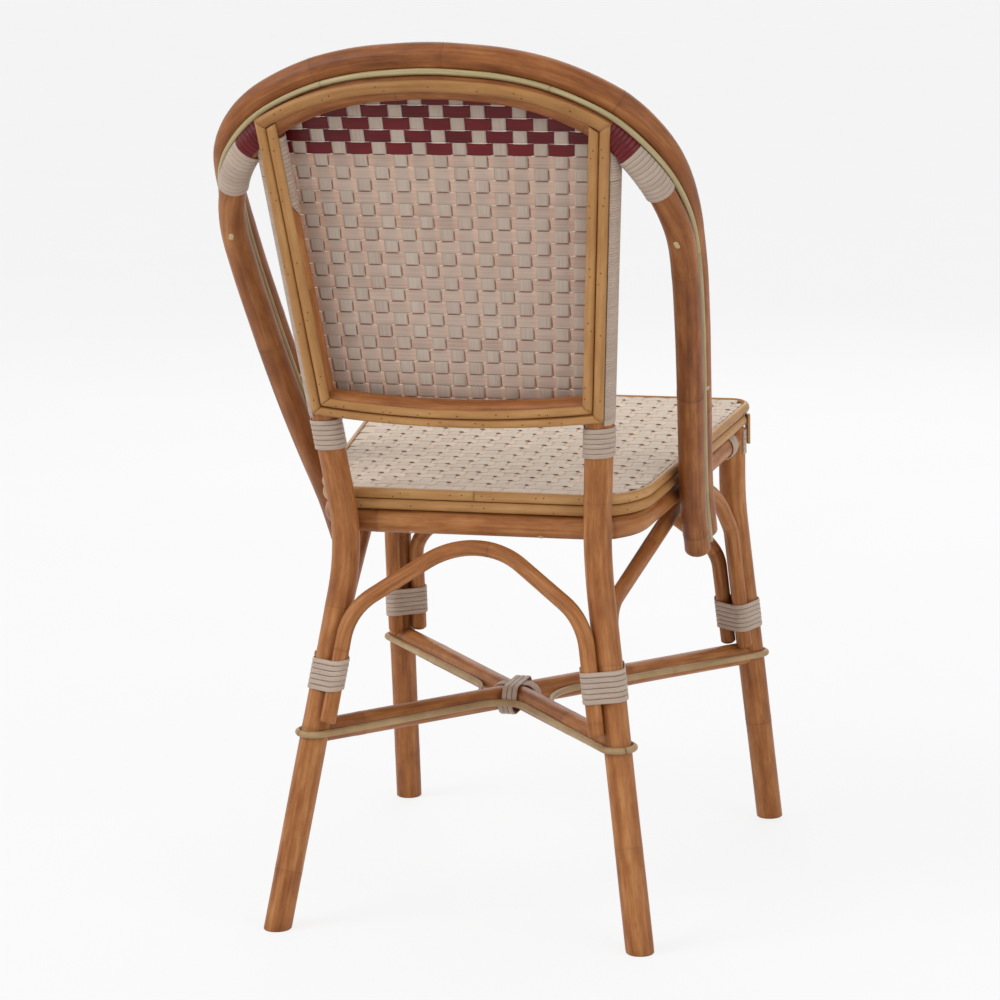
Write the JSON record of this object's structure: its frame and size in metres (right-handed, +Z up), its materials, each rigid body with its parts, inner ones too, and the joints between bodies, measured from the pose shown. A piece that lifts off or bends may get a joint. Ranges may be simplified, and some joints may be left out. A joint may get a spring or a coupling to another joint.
{
  "type": "rattan bistro armchair",
  "caption": "Bistro armchair of bent rattan poles with a double hoop for back and arms, a woven back panel and a woven seat, arched braces and crossed stretchers.",
  "frame": {"origin": "on the floor, under the middle of the bounding box", "axes": "+Z up, the sitter faces -Y, +X to the left of the sitter"},
  "size_m": [0.4844, 0.5886, 0.8926],
  "materials": {
    "rattan_pole": "satin lacquered rattan, honey brown",
    "split_cane": "satin split cane, pale honey",
    "peel": "smooth cane peel, greenish straw",
    "pale_strand": "matte flat woven strand, off-white",
    "dark_strand": "satin flat woven strand, maroon",
    "seat_weave": "matte fine weave, off-white with small brown dashes"
  },
  "bodies": {
    "root": {"arch_front": "rattan_pole", "arch_left": "rattan_pole", "arch_rear": "rattan_pole", "arch_right": "rattan_pole", "back_rail": "rattan_pole", "back_weave": "pale_strand", "border_bottom_inner": "split_cane", "border_bottom_outer": "split_cane", "border_side_inner_left": "split_cane", "border_side_inner_right": "split_cane", "border_side_outer_left": "split_cane", "border_side_outer_right": "split_cane", "border_top": "split_cane", "corner_edging_left": "split_cane", "corner_edging_right": "split_cane", "front_leg_left": "rattan_pole", "front_leg_right": "rattan_pole", "groove_strip_inner_left": "peel", "groove_strip_inner_right": "peel", "groove_strip_outer": "peel", "hoop_inner": "rattan_pole", "hoop_outer": "rattan_pole", "hoop_wrap_dark_left": "dark_strand", "hoop_wrap_dark_right": "dark_strand", "hoop_wrap_pale_left": "pale_strand", "hoop_wrap_pale_right": "pale_strand", "lashing_across": "pale_strand", "lashing_along": "pale_strand", "leg_binding_front_left": "pale_strand", "leg_binding_front_right": "pale_strand", "leg_binding_rear_left": "pale_strand", "leg_binding_rear_right": "pale_strand", "leg_wrap_left": "pale_strand", "leg_wrap_right": "pale_strand", "post_binding_left": "pale_strand", "post_binding_right": "pale_strand", "post_wrap_left": "pale_strand", "post_wrap_right": "pale_strand", "rail_binding_left": "pale_strand", "rail_binding_right": "pale_strand", "rear_leg_left": "rattan_pole", "rear_leg_right": "rattan_pole", "seat_bar_front": "rattan_pole", "seat_bar_rear": "rattan_pole", "seat_edging_lower": "split_cane", "seat_edging_upper": "split_cane", "seat_frame": "rattan_pole", "seat_rail_bent": "rattan_pole", "seat_rail_front": "rattan_pole", "seat_weave": "seat_weave", "stretcher_left_rear": "rattan_pole", "stretcher_right_rear": "rattan_pole", "stretcher_strip_front": "peel", "stretcher_strip_left": "peel", "stretcher_strip_rear": "peel", "stretcher_strip_right": "peel"}
  },
  "joints": []
}
